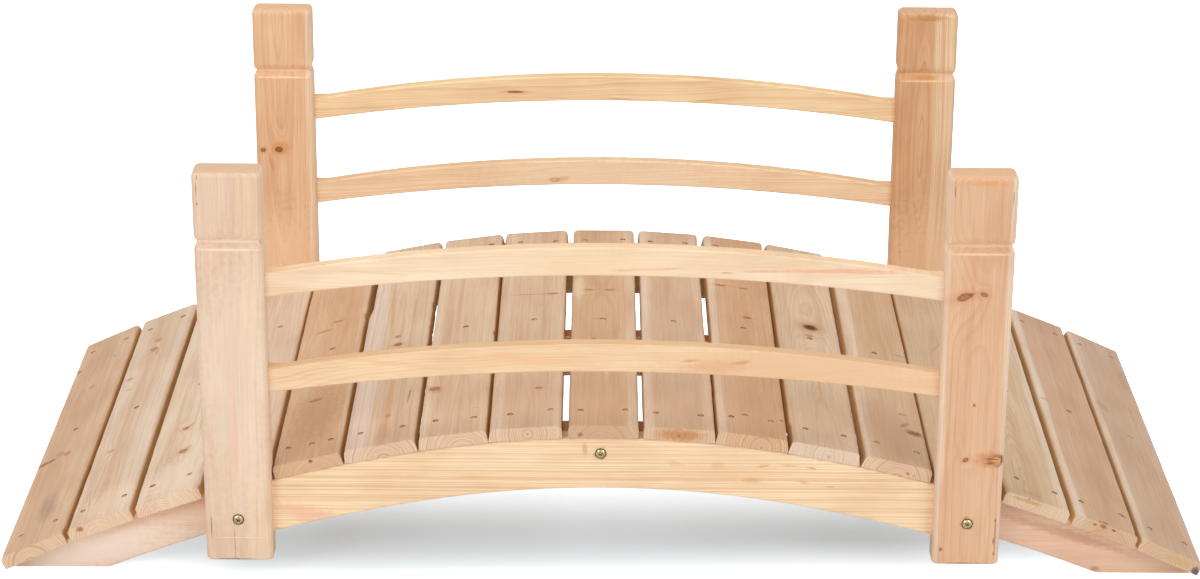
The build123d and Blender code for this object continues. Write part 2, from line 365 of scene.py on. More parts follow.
def planed_softwood(name, centre, axes, early, late, heart=None, heart_radius=30, pith=(0, 30), ring_width=3,
                    lean=0.0, waver=12, seed=0.0, lines=0.5, uneven=0.6, sap=(), sap_colour=(236, 214, 190),
                    streak_colour=(196, 150, 112), streaks=0.3, drift_colour=(205, 160, 125), drift=0.3,
                    knots=(), knot_colour=(150, 92, 52), halo_colour=(212, 146, 98), marks_and_shading=(),
                    end_tint=(232, 200, 160), end_lines=0.6, end_colour=0.75, end_marks=(), side_shade=0.0,
                    side_shade_colour=(250, 232, 196)):
    """Bare planed softwood. axes are the stick's own: along the grain, across the face, and through it.

    Lengths are in millimetres, colours from 0 to 255 and the rest mostly shares from 0 to 1.
    early, late, heart: the wood between the growth lines, the lines, and the wood round the pith
    heart_radius: how far from the pith the heart's colour reaches
    pith, ring_width, lean, waver: where the lines centre across and through the stick, how far apart
        they are, how they slope along it and how far they waver
    lines, uneven: how strong the growth lines are, and how much that differs from year to year
    sap: (where across, side, strength), paler sapwood on one side of a line
    streaks, drift: how strong narrow streaks and broad patches of another colour are
    knots: (along, across, half along, half across, turn in degrees, darkness), with halo_colour round them
    marks_and_shading: (along, across, half along, half across, turn in degrees, colour, strength), the wood's
    own marks and some painted shade and highlights
    end_tint, end_lines, end_colour: the sawn ends' colour, their growth lines, and how far both cover
    end_marks: (across, through, half across, half through, colour, strength), on the near end only
    side_shade: how much painted shade darkens the narrow sides, by side_shade_colour, for the shade that
    falls on them
    """
    wood = bpy.data.materials.new(name)
    tree = empty_tree(wood)
    where = put(tree, "ShaderNodeTexCoord").outputs["Object"]
    stick = put(tree, "ShaderNodeMapping", {"Vector": where, "Location": centre, "Rotation": axes.to_euler()},
                vector_type="TEXTURE").outputs[0]
    parts = put(tree, "ShaderNodeSeparateXYZ", {0: stick}).outputs

    bulge = 0.0
    branches = []
    for number, (*place, turn, darkness) in enumerate(knots):
        knot = spot(tree, branch_knot, stick, place, turn, seed + number * 3.1)
        bulge = plus(tree, bulge, knot["Bulge"])
        branches.append((knot, darkness))
    rings = put(tree, "ShaderNodeGroup", {
        "Point": stick, "Pith Y": pith[0] / 1000, "Pith Z": pith[1] / 1000, "Lean": lean,
        "Ring Width": ring_width / 1000, "Waver": waver / 1000, "Seed": seed, "Bulge": bulge,
    }, node_tree=growth_rings).outputs
    yearly = sum_up(tree, "MULTIPLY_ADD", rings["Year"], uneven, 1 - uneven)
    late_wood = times(tree, rings["Late Wood"], yearly)
    line = times(tree, late_wood, lines)

    patch = ease(tree, cloud(tree, stick, drift_turns, seed + 2.0, 4.0, 0.6), 0.40, 0.68)
    colour = tinted(tree, shade(*early), drift_colour, patch, drift)
    if heart:
        edge = swing(tree, stick, heart_edge_turns, seed + 7.0, heart_edge_swing)
        depth = plus(tree, rings["Radius"], edge)
        reach = heart_radius / 1000
        inside = rest_of(tree, ease(tree, depth, reach - heart_edge_fade, reach + heart_edge_fade))
        colour = tinted(tree, colour, heart, inside, heart_strength)
    for across, side, strength in sap:
        edge = plus(tree, parts[1], swing(tree, stick, sap_edge_turns, seed + 9.0, sap_edge_swing))
        beyond = times(tree, sum_up(tree, "SUBTRACT", edge, across / 1000), side)
        colour = tinted(tree, colour, sap_colour, ease(tree, beyond, -0.002, 0.003), strength)
    streak = ease(tree, cloud(tree, stick, streak_turns, seed + 5.0, 4.0, 0.62), 0.48, 0.66)
    colour = tinted(tree, colour, streak_colour, streak, streaks)
    colour = tinted(tree, colour, late, line)
    mottle = ease(tree, cloud(tree, stick, mottle_turns, seed + 3.0), 0.38, 0.68)
    colour = tinted(tree, colour, mottle_colour, mottle, mottle_strength, mode="MULTIPLY")
    fibre = ease(tree, cloud(tree, stick, fibre_turns, seed + 4.0, 3.0, 0.65), 0.30, 0.72)
    colour = blend(tree, times(tree, fibre, fibre_light), colour, white, "SOFT_LIGHT")
    colour = tinted(tree, colour, fibre_shadow_colour, rest_of(tree, fibre), fibre_dark, mode="MULTIPLY")

    end = facing_amount(tree, axes @ Vector((1, 0, 0)), 0.55, 0.85)
    pores = ease(tree, cloud(tree, stick, pore_turns, seed + 8.0, 3.0, 0.7), 0.35, 0.65)
    end_face = tinted(tree, shade(*end_tint), late, pores, pore_strength)
    end_face = tinted(tree, end_face, late, late_wood, end_lines)
    pith_dot = rest_of(tree, ease(tree, rings["Radius"], 0.0006, 0.0018))
    end_face = tinted(tree, end_face, pith_colour, pith_dot, pith_strength)
    colour = blend(tree, times(tree, end, end_colour), colour, end_face)
    # Painted shade: the narrow sides are darkened towards side_shade_colour, as if in the shade of gaps and
    # of the parts above them.
    side = facing_amount(tree, axes @ Vector((0, 1, 0)), 0.80, 0.97)
    colour = tinted(tree, colour, side_shade_colour, side, side_shade, mode="MULTIPLY")

    flat = put(tree, "ShaderNodeVectorMath", {0: stick, 1: (1, 1, 0)}, operation="MULTIPLY").outputs[0]
    # The wood's own marks, and the painted shadows and highlights given with them.
    for number, (*place, turn, tint, strength) in enumerate(marks_and_shading):
        mark = spot(tree, soft_mark, flat, place, turn, seed + 40.0 + number * 2.3)
        colour = tinted(tree, colour, tint, mark["Amount"], strength)
    near_end = times(tree, end, sum_up(tree, "LESS_THAN", parts[0], near_end_start))
    end_on = put(tree, "ShaderNodeCombineXYZ", {0: parts[1], 1: parts[2]}).outputs[0]
    for number, (*place, tint, strength) in enumerate(end_marks):
        mark = spot(tree, soft_mark, end_on, place, 0.0, seed + 70.0 + number * 1.9)
        colour = tinted(tree, colour, tint, mark["Amount"], strength, near_end)
    for knot, darkness in branches:
        for part, strength, tint in (
            ("Halo", knot_halo_strength, halo_colour),
            ("Heart", knot_heart_strength, knot_colour),
            ("Rim", knot_rim_strength, knot_rim_colour),
        ):
            colour = tinted(tree, colour, tint, knot[part], strength * darkness)

    height = plus(tree, times(tree, line, 0.5), times(tree, fibre, 0.5))
    bump = put(tree, "ShaderNodeBump", {"Height": height, "Strength": bump_strength, "Distance": bump_height})
    roughness = sum_up(tree, "MULTIPLY_ADD", fibre, fibre_roughness, wood_roughness)
    skin = put(tree, "ShaderNodeBsdfPrincipled", {"Base Color": colour, "Roughness": roughness,
               "Normal": bump.outputs[0], "Specular IOR Level": wood_shine})
    put(tree, "ShaderNodeOutputMaterial", {"Surface": skin.outputs[0]})
    return wood


def dress(node_name, wood):
    """Give a frame node its material."""
    for material_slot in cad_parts[node_name].material_slots:
        material_slot.material = wood


def middle_of(node_name):
    """The middle of a frame node's box."""
    low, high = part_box(node_name)
    return (Vector(low) + Vector(high)) / 2


def axes_from(along, across):
    """The turn that carries a stick's own axes to where its grain and its face lie."""
    through = Vector(along).cross(Vector(across))
    return Matrix((along, across, through)).transposed()


level_grain = axes_from((1, 0, 0), (0, 0, 1))
# The marks here and below lie where the photo shows them, from the middle of each stick.
# The turned bands at -520 and 555 along are painted shadow under the boards' overhang on the ramps; the other
# marks are the wood's own.
beam_marks_and_shadows = [
    (592, -86, 7, 4, 0, (196, 112, 72), 0.6), (-620, -70, 140, 35, -14, (244, 228, 213), 0.7),
    (-520, -15, 120, 10, -20, (236, 178, 144), 0.5), (555, -40, 95, 7.5, 18, (196, 144, 104), 0.55),
]
for beam_number, (beam_name, early, late) in enumerate((
    ("beam_front", (242, 211, 184), (224, 172, 140)),
    ("beam_middle", (242, 200, 140), (218, 158, 98)),
    ("beam_back", (242, 200, 140), (218, 158, 98)),
)):
    # The beams' top and bottom faces take painted shade by side_shade, for the shade under the deck that
    # shows through the gaps.
    dress(beam_name, planed_softwood(
        beam_name, middle_of(beam_name), level_grain, early=early, late=late, seed=1.0 + beam_number,
        pith=(-250, -30), ring_width=3.6, waver=20, lines=0.42, side_shade=0.9, side_shade_colour=(182, 134, 72),
        drift_colour=(244, 192, 162), drift=0.6, streak_colour=(232, 178, 146), streaks=0.3,
        marks_and_shading=beam_marks_and_shadows,
    ))

# Each side board is a deep arched board of pale yellow pine, screwed to the face of the outer beam
# under the ends of the deck boards. Its growth lines run level and stand out clearly.
side_board_marks_and_shade = [
    # The first mark is painted shadow round the screw head, with wood darkened where the head presses; the
    # rest are the wood's own.
    (-3, 42.2, 8.4, 8.4, 0, (140, 100, 58), 0.9), (-22, 48, 4, 10, 0, (200, 130, 90), 0.45),
    (160, 18, 100, 14, -6, (240, 196, 150), 0.3), (85, 30, 12, 4, 10, (222, 170, 122), 0.4),
    (135, 28, 11, 5, -10, (222, 170, 122), 0.4), (188, 27, 10, 2.2, -12, (202, 156, 96), 0.5),
    (220, 28, 12, 1.8, 4, (206, 158, 100), 0.4), (246, 25, 7, 1.6, 12, (176, 124, 80), 0.55),
    (176, 9, 13, 4, 0, (212, 164, 104), 0.5), (236, 7, 9, 2.6, 10, (208, 162, 104), 0.45),
    (268, 1, 8, 1.6, -4, (198, 144, 96), 0.45), (-340, -42, 60, 14, 18, (238, 180, 148), 0.6),
]
for board_number, board_name in enumerate(("side_board_front", "side_board_back")):
    dress(board_name, planed_softwood(
        board_name, middle_of(board_name), level_grain, early=(254, 224, 184), late=(226, 166, 110),
        seed=11.0 + board_number, pith=(-420, -50), ring_width=5, waver=6, lines=0.54, uneven=0.15,
        drift_colour=(250, 210, 172), drift=0.2, streak_colour=(242, 196, 154), streaks=0.05,
        marks_and_shading=side_board_marks_and_shade,
    ))

# The posts are planed square stock with rounded edges and a bevelled groove cut round near the top.
# They stand outside the beams, each held by one screw; their grain runs upright.
upright_grain = axes_from((0, 0, 1), (1, 0, 0))
# In each post's marks the round one at -190 along is painted shadow round the screw head, with wood darkened
# where the head presses.
post_looks = {
    "post_front_left": dict(
        early=(231, 203, 176), late=(214, 170, 140), pith=(-12, -120), lean=0.02, ring_width=3, lines=0.3,
        drift_colour=(233, 197, 169), drift=0.4, streak_colour=(230, 186, 154), streaks=0.35,
        sap=[(12, 1, 0.6)], sap_colour=(242, 212, 180), end_tint=(214, 178, 144), end_colour=0.9,
        marks_and_shading=[
            (-190, 0, 8.5, 8.5, 0, (150, 112, 70), 0.9), (-200, -32, 16, 1, 0, (136, 108, 90), 0.75),
            (-221, -5, 27, 0.6, 0, (138, 106, 84), 0.75), (222, -33.5, 10, 0.9, 0, (130, 98, 76), 0.7),
            (236, -32.5, 4, 0.8, 0, (120, 88, 66), 0.7), (205, -33, 3, 1, 0, (130, 96, 70), 0.8),
            (-20, 0, 200, 50, 0, (246, 224, 204), 0.4), (-80, 0, 90, 4, 0, (234, 184, 158), 0.45),
            (-214, 2, 0.6, 34, 0, (252, 226, 204), 0.7), (-215.5, 4, 0.4, 30, 0, (214, 168, 138), 0.6),
            (-243, -6, 2.4, 30, 0, (104, 78, 66), 0.85),
        ],
    ),
    "post_front_right": dict(
        early=(230, 186, 149), late=(206, 146, 110), pith=(4, -90), lean=0.012, ring_width=3.2, lines=0.4,
        drift_colour=(224, 174, 138), drift=0.5, streak_colour=(220, 166, 130), streaks=0.35,
        sap=[(32.5, 1, 0.8), (-34, -1, 0.7)], sap_colour=(244, 220, 194), knot_colour=(158, 98, 58),
        knots=[
            (97, -16.5, 3.8, 8.8, 18, 0.85), (100, 6, 2.2, 4, -20, 0.8), (-38, 1, 1.3, 1.3, 0, 0.9),
            (-108, -6, 2.2, 3.2, 35, 0.9),
        ],
        marks_and_shading=[
            (-107, 22, 12.5, 20, 0, (208, 138, 94), 0.75), (-108.5, 30, 8.8, 12, 0, (126, 72, 36), 0.85),
            (-109, 30.5, 5.8, 8.8, 0, (226, 168, 118), 0.9), (-106.5, 26, 0.9, 12, -6, (130, 76, 40), 0.8),
            (-111.5, 25, 0.9, 11, 6, (136, 82, 46), 0.8), (-108.5, 36.2, 7, 1.2, 0, (110, 74, 36), 0.8),
            (96.8, -17.5, 1.6, 4.6, 18, (190, 126, 82), 0.75), (100, 6, 0.9, 1.8, -20, (196, 134, 92), 0.6),
            (100.5, -8, 1.2, 6, 24, (126, 80, 48), 0.8), (-190, 0, 8.5, 8.5, 0, (130, 90, 58), 0.9),
            (235, 0, 4, 32, 0, (226, 158, 100), 0.6), (-243, 0, 2.2, 34, 0, (112, 82, 64), 0.8),
            (-224, -30, 3, 2.5, 0, (140, 84, 54), 0.8), (225, -33, 8, 0.8, 0, (120, 88, 66), 0.7),
            (218, 33.5, 10, 0.8, 0, (130, 98, 76), 0.7), (-205, 33.8, 30, 1.4, 0, (158, 116, 90), 0.6),
            (-212, 32, 6, 1.2, 0, (112, 84, 68), 0.7), (-186, 33, 3, 1.2, 0, (112, 84, 68), 0.7),
            (-229, 33, 3, 1.4, 0, (112, 84, 68), 0.7),
        ],
    ),
    "post_back_left": dict(
        early=(240, 196, 156), late=(220, 163, 120), pith=(-6, -40), lean=0.05, ring_width=3, lines=0.55,
        drift_colour=(236, 188, 148), drift=0.4, streak_colour=(222, 168, 128), streaks=0.4,
        sap=[(31, 1, 0.8)], sap_colour=(246, 220, 188), knot_colour=(146, 86, 42),
        knots=[(47, -30, 2.4, 3.2, 0, 0.9), (48, -8.5, 3.4, 4.6, 0, 1)],
        marks_and_shading=[
            (50, -4, 13, 14, 0, (220, 148, 84), 0.65), (30, -20, 16, 3, 12, (206, 132, 82), 0.55),
            (-190, 0, 8.5, 8.5, 0, (140, 100, 66), 0.9), (-140, 0, 140, 60, 0, (248, 208, 170), 0.5),
        ],
    ),
    "post_back_right": dict(
        early=(224, 176, 134), late=(198, 134, 90), pith=(-4, -26), lean=0.1, ring_width=3.4, lines=0.6,
        drift_colour=(221, 170, 126), drift=0.4, streak_colour=(208, 152, 108), streaks=0.3,
        sap=[(10, 1, 0.9)], sap_colour=(243, 212, 174),
        marks_and_shading=[
            (-94, -26, 2.2, 1.2, 0, (110, 70, 44), 0.8), (154.5, -2, 5.2, 19, 0, (208, 148, 80), 0.75),
            (237, 0, 5, 30, 0, (186, 130, 70), 0.7), (-190, 0, 8.5, 8.5, 0, (140, 100, 66), 0.9),
            (-140, 0, 140, 60, 0, (236, 196, 160), 0.6),
        ],
    ),
}
# The groove's two edges are painted paler than the post by so many steps of 255: a painted highlight along
# the lower bevel's edge, and painted light over the shade in the groove's valley.
groove_highlight = 18
for post_number, (post_name, look) in enumerate(post_looks.items()):
    groove_lit = tuple(min(255, part + groove_highlight) for part in look["early"])
    groove_highlights = [(149.2, 0, 1.6, 46, 0, groove_lit, 0.85), (159, 0, 3, 46, 0, groove_lit, 0.6)]
    look = dict(end_tint=(226, 184, 146), waver=14) | look | dict(marks_and_shading=look["marks_and_shading"] + groove_highlights)
    wood = planed_softwood(post_name, middle_of(post_name), upright_grain, seed=21.0 + post_number, **look)
    dress(post_name, wood)

# Two thin arched rails of pale pine run between the posts on each side, one above the other, with
# their ends let into the posts.
rail_looks = {
    "rail_front_upper": dict(
        early=(253, 229, 197), late=(240, 198, 156), lines=0.4, pith=(-100, -30), lean=0.05,
        marks_and_shading=[
            (50, 6, 45, 2.2, -2, (226, 160, 124), 0.55), (20, 4, 12, 1.5, 3, (196, 130, 92), 0.6),
            (75, 6, 15, 1.2, -4, (200, 134, 98), 0.5), (140, 2, 8, 1.5, 0, (206, 140, 104), 0.6),
            (270, 4.5, 95, 3.5, 0, (240, 168, 132), 0.65), (180, 4, 30, 2, 0, (232, 160, 128), 0.5),
            (-270, 0, 50, 2, 4, (230, 184, 144), 0.3), (0, 0, 150, 40, 0, (244, 213, 170), 0.5),
        ],
    ),
    "rail_front_lower": dict(
        early=(250, 215, 172), late=(226, 166, 116), lines=0.45, pith=(-60, -50), lean=0.09,
        marks_and_shading=[
            (240, 0, 200, 40, 0, (234, 190, 150), 0.8), (-240, 6, 60, 4, 6, (234, 180, 134), 0.35),
            (-100, 12, 90, 6, 2, (240, 190, 142), 0.6), (130, 4, 45, 10, -3, (222, 168, 122), 0.5),
            (160, 10, 12, 3, -8, (192, 132, 90), 0.5), (100, 12, 10, 2, -6, (190, 132, 92), 0.5),
            (250, -4, 60, 3, -6, (228, 174, 128), 0.25),
        ],
    ),
    "rail_back_upper": dict(
        early=(253, 224, 178), late=(232, 182, 130), lines=0.5, pith=(-120, -40), lean=0.04, uneven=0.3,
        knots=[(-120, 9, 9, 1.2, 0, 1)],
        marks_and_shading=[(20, 0, 30, 1.5, 4, (206, 150, 104), 0.6), (135, -2, 20, 1.2, 0, (200, 146, 100), 0.5)],
    ),
    "rail_back_lower": dict(
        early=(252, 221, 183), late=(228, 174, 126), lines=0.5, uneven=0.3, pith=(-80, -50), lean=0.06,
        knots=[(-67, 4, 6, 3, 0, 0.3)],
        marks_and_shading=[(0, 0, 200, 40, 0, (252, 229, 202), 0.45), (-56, 5, 14, 3.5, -12, (216, 162, 118), 0.5)],
    ),
}
# The rails' narrow faces take painted shade by side_shade, so that their tops are darker than their fronts.
for rail_number, (rail_name, look) in enumerate(rail_looks.items()):
    dress(rail_name, planed_softwood(
        rail_name, middle_of(rail_name), level_grain, seed=31.0 + rail_number, ring_width=4, waver=45,
        side_shade=0.4, drift_colour=(247, 210, 170), drift=0.4, streak_colour=(242, 196, 154), streaks=0.35,
        **look,
    ))

# The deck is seventeen boards laid square across the beams with narrow gaps, and nailed down. They are
# planed, knotty fir with rounded long edges, pinkish at the heart and paler at the sides. Their ends are
# sawn rough, and some edges are nicked.
crown_height = 0.182
crown_radius = 1.3
crown_turn = math.radians(10)
flank_radius = 1.88
board_count = 17
board_pitch = 0.087
board_seat_gap = 0.0003
board_thickness = 0.0163
board_half_length = 0.335
short_board_half_length = 0.3112
short_boards = (4, 14)
board_top_rounding = 0.006
board_under_rounding = 0.0012
board_end_easing = 0.0008
# How the planed edges and sawn ends depart from true: by how much, and in how many turns a metre.
edge_waver, edge_waver_turns = 0.00025, 45
edge_fuzz, edge_fuzz_turns = 0.00012, 260
rounding_waver, rounding_waver_turns = 0.12, 30
saw_depth, saw_turns = 0.0003, 300
section_run = 0.004
# Rows of nails along a board, each with its places across.
nail_rows = ((-0.288, (-0.025, 0.025)), (0.006, (0.0,)), (0.296, (-0.025, 0.025)))
extra_nails = {4: [(0.136, 0.006)], 5: [(-0.289, 0.004)], 11: [(-0.274, -0.009)]}
nail_scatter_along = 0.004
nail_scatter_across = 0.0025
nail_pit_radius = 0.0040
nail_pit_foot_radius = 0.0034
nail_pit_depth = 0.0018
shallowest_pit = 0.45
# A face of the board takes the dark pit wood, crushed wood and painted shade, if it lies this far below the
# top and this near to a nail's pit.
pit_wall_below_top = 0.0001
pit_wall_reach = 0.001


def board_place(number):
    """Where the underside of a board's middle sits on the arch, and how far the board tips."""
    along = (number - (board_count + 1) / 2) * board_pitch
    crown_run = crown_radius * crown_turn
    crown_centre_z = crown_height - crown_radius
    if abs(along) <= crown_run:
        turn = abs(along) / crown_radius
        reach = crown_radius + board_seat_gap
        x, z = reach * math.sin(turn), crown_centre_z + reach * math.cos(turn)
    else:
        turn = crown_turn + (abs(along) - crown_run) / flank_radius
        reach = flank_radius + board_seat_gap
        difference = flank_radius - crown_radius
        x = reach * math.sin(turn) - difference * math.sin(crown_turn)
        z = crown_centre_z - difference * math.cos(crown_turn) + reach * math.cos(turn)
    return Vector((math.copysign(x, along), 0, z)), math.copysign(turn, along)


def wobble(first, second, third):
    """Smooth noise from -1 to 1 at three coordinates."""
    return noise.noise(Vector((first, second, third)))


def board_mesh(number, left, right, flares, half_length, nicks):
    """A board in its own axes: along, across from the left edge to the right, and through, downwards.

    The board's number and the side go into the noise, so that no two edges are alike.
    """
    def edge_loss(along, side):
        """How far the edge on one side falls short at a place along the board."""
        fuzz = wobble(along * edge_fuzz_turns, number * 3.7, side * 5.1)
        waver = wobble(along * edge_waver_turns, number * 1.3, side * 9.7)
        loss = edge_waver * (1 + waver) + edge_fuzz * (1 + fuzz)
        for nick_side, nick_along, nick_half, nick_depth in nicks:
            if nick_side == side:
                loss += nick_depth * min(1.0, max(0.0, 2.5 - 2.5 * ((along - nick_along) / nick_half) ** 2))
        return loss

    def section(along, inset):
        """Points round the board at a place along it, drawn in by the inset."""
        low_side = left + edge_loss(along, -1) + inset
        high_side = right - edge_loss(along, 1) - inset
        under = board_under_rounding
        waver = wobble(along * rounding_waver_turns, number * 2.1, 0.5)
        over = board_top_rounding * (1 + rounding_waver * waver)
        points = []
        for centre_across, centre_height, radius, start, steps in (
            (low_side - flares[0] + under, inset + under, under, 180, 2),
            (high_side + flares[1] - under, inset + under, under, 270, 2),
            (high_side - over, board_thickness - inset - over, over, 0, 7),
            (low_side + over, board_thickness - inset - over, over, 90, 7),
        ):
            for step in range(steps + 1):
                turn = math.radians(start + 90 * step / steps)
                height = centre_height + radius * math.sin(turn)
                points.append((centre_across + radius * math.cos(turn), board_thickness / 2 - height))
        return points

    inner_half = half_length - board_end_easing
    section_count = round(2 * inner_half / section_run)
    places = [(-half_length, board_end_easing)]
    places += [((2 * step / section_count - 1) * inner_half, 0.0) for step in range(section_count + 1)]
    places += [(half_length, board_end_easing)]
    shape = bmesh.new()
    rings = []
    for along, inset in places:
        ring = []
        for across, through in section(along, inset):
            cut = 0.0
            if inset:
                cut = saw_depth * wobble(across * saw_turns, through * saw_turns, number * 7.3) + saw_depth
            ring.append(shape.verts.new((along - math.copysign(cut, along), across, through)))
        rings.append(ring)
    for ring, after in zip(rings, rings[1:]):
        for step in range(len(ring)):
            following = (step + 1) % len(ring)
            shape.faces.new((ring[step], ring[following], after[following], after[step]))
    shape.faces.new(rings[0])
    shape.faces.new(reversed(rings[-1]))
    bmesh.ops.recalc_face_normals(shape, faces=shape.faces)
    return shape


def finish_mesh(name, shape, carry, sharp_degrees=35):
    """Turn a worked shape into a mesh with smooth rounds and crisp corners, and set it in its place."""
    shape.transform(carry)
    mesh = bpy.data.meshes.new(name)
    shape.to_mesh(mesh)
    shape.free()
    mesh.shade_smooth()
    mesh.set_sharp_from_angle(angle=math.radians(sharp_degrees))
    made = bpy.data.objects.new(name, mesh)
    bpy.context.scene.collection.objects.link(made)
    return made


def settle(piece):
    """Put a piece's modifiers into its mesh, and take them off it."""
    graph = bpy.context.evaluated_depsgraph_get()
    settled = bpy.data.meshes.new_from_object(piece.evaluated_get(graph), depsgraph=graph)
    piece.modifiers.clear()
    piece.data = settled
    settled.name = piece.name


def cut_out(piece, cutter):
    """Cut one object's shape out of another, and throw the cutter away."""
    cut = piece.modifiers.new("cut", "BOOLEAN")
    cut.operation = "DIFFERENCE"
    cut.solver = "EXACT"
    cut.object = cutter
    level = piece.modifiers.new("level", "WEIGHTED_NORMAL")
    level.keep_sharp = True
    settle(piece)
    bpy.data.objects.remove(cutter)


# (left edge, right edge) of each board in millimetres from its middle; no two are quite alike. Where the
# sides aren't sawn square, the foot of the board is wider by the second pair.
board_edges = {
    1: (-44.0, 40.0), 2: (-42.5, 39.5), 3: (-42.0, 40.5), 4: (-42.3, 39.0), 5: (-46.8, 38.8),
    6: (-45.0, 41.0), 7: (-42.7, 38.4), 8: (-46.5, 39.1), 9: (-41.4, 41.7), 10: (-40.7, 44.0),
    11: (-41.5, 42.8), 12: (-41.3, 41.6), 13: (-40.0, 43.0), 14: (-43.0, 41.2), 15: (-41.8, 41.0),
    16: (-40.4, 42.3), 17: (-40.7, 41.5),
}
board_flares = {
    4: (0, 1.0), 5: (0, 1.0), 6: (1.0, 1.0), 7: (1.0, 1.2), 8: (2.0, 0), 10: (0, 1.2), 11: (1.0, 1.9),
    12: (1.6, 1.8), 13: (1.8, 0),
}
# (side, along, half length, depth) of the nicks in the boards' edges, in millimetres.
board_nicks = {
    1: [(1, -320, 10, 1.4)], 3: [(1, -327, 8, 1.2)],
    5: [(1, 110, 10, 1.2), (-1, -335, 320, 2.5), (-1, 335, 40, 3)],
    6: [(-1, 250, 156, 3.2), (1, 105, 12, 0.7), (1, 30, 8, 0.6)],
    7: [(-1, -70, 6, 1.6), (-1, 110, 110, 0.4), (1, -20, 7, 1.2)], 10: [(1, 200, 300, 3.4)],
    11: [(-1, 200, 300, 1.4)], 12: [(-1, -300, 30, 1.5)], 16: [(1, -325, 8, 1.2)],
}
